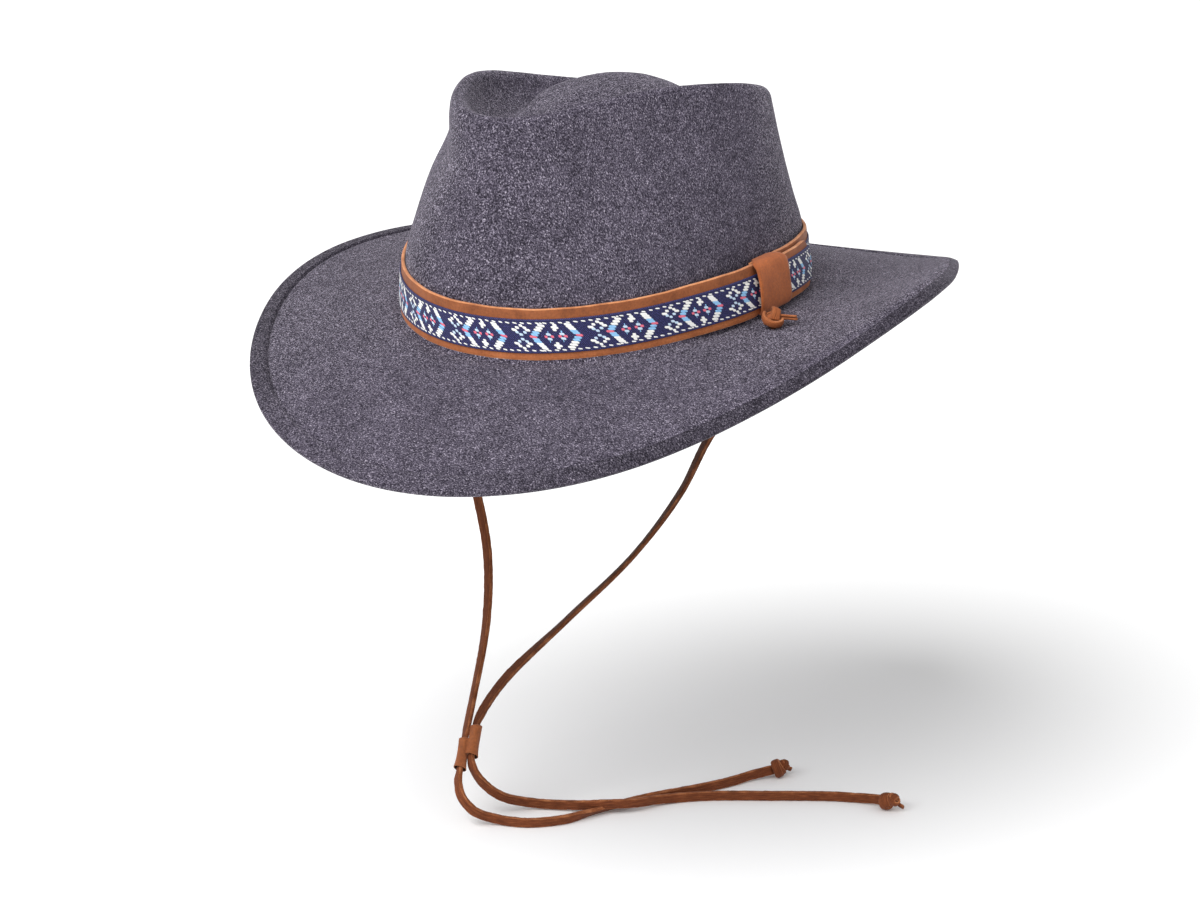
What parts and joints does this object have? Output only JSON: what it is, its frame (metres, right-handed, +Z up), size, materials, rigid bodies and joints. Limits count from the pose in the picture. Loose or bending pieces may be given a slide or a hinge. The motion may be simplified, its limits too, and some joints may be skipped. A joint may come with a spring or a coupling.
{
  "type": "felt hat",
  "caption": "Wool felt hat with pinched teardrop crown, dipped brim, leather strap with woven ribbon and keeper, and leather chin laces through a slider",
  "frame": {"origin": "centre of the head opening, level with the lower edge of the band", "axes": "+Z up, front of the hat towards -Y, wearer's left towards +X"},
  "size_m": [0.3258, 0.3483, 0.3594],
  "materials": {
    "felt": "heathered wool felt, grey purple, matt",
    "strap_leather": "light tan, lighter cut edges",
    "woven_ribbon": "navy jacquard ribbon with geometric motif",
    "keeper_leather": "saddle brown, smooth",
    "lace_leather": "brown, cut edges a little fibrous"
  },
  "bodies": {
    "root": {"felt_body": "felt", "band_strap": "strap_leather", "band_ribbon": "woven_ribbon", "keeper": "keeper_leather", "anchor_knot_left": "lace_leather", "anchor_knot_right": "lace_leather", "chin_lace_left": "lace_leather", "chin_lace_right": "lace_leather", "lace_slider": "keeper_leather", "end_knot_a": "lace_leather", "end_knot_b": "lace_leather"}
  },
  "joints": []
}
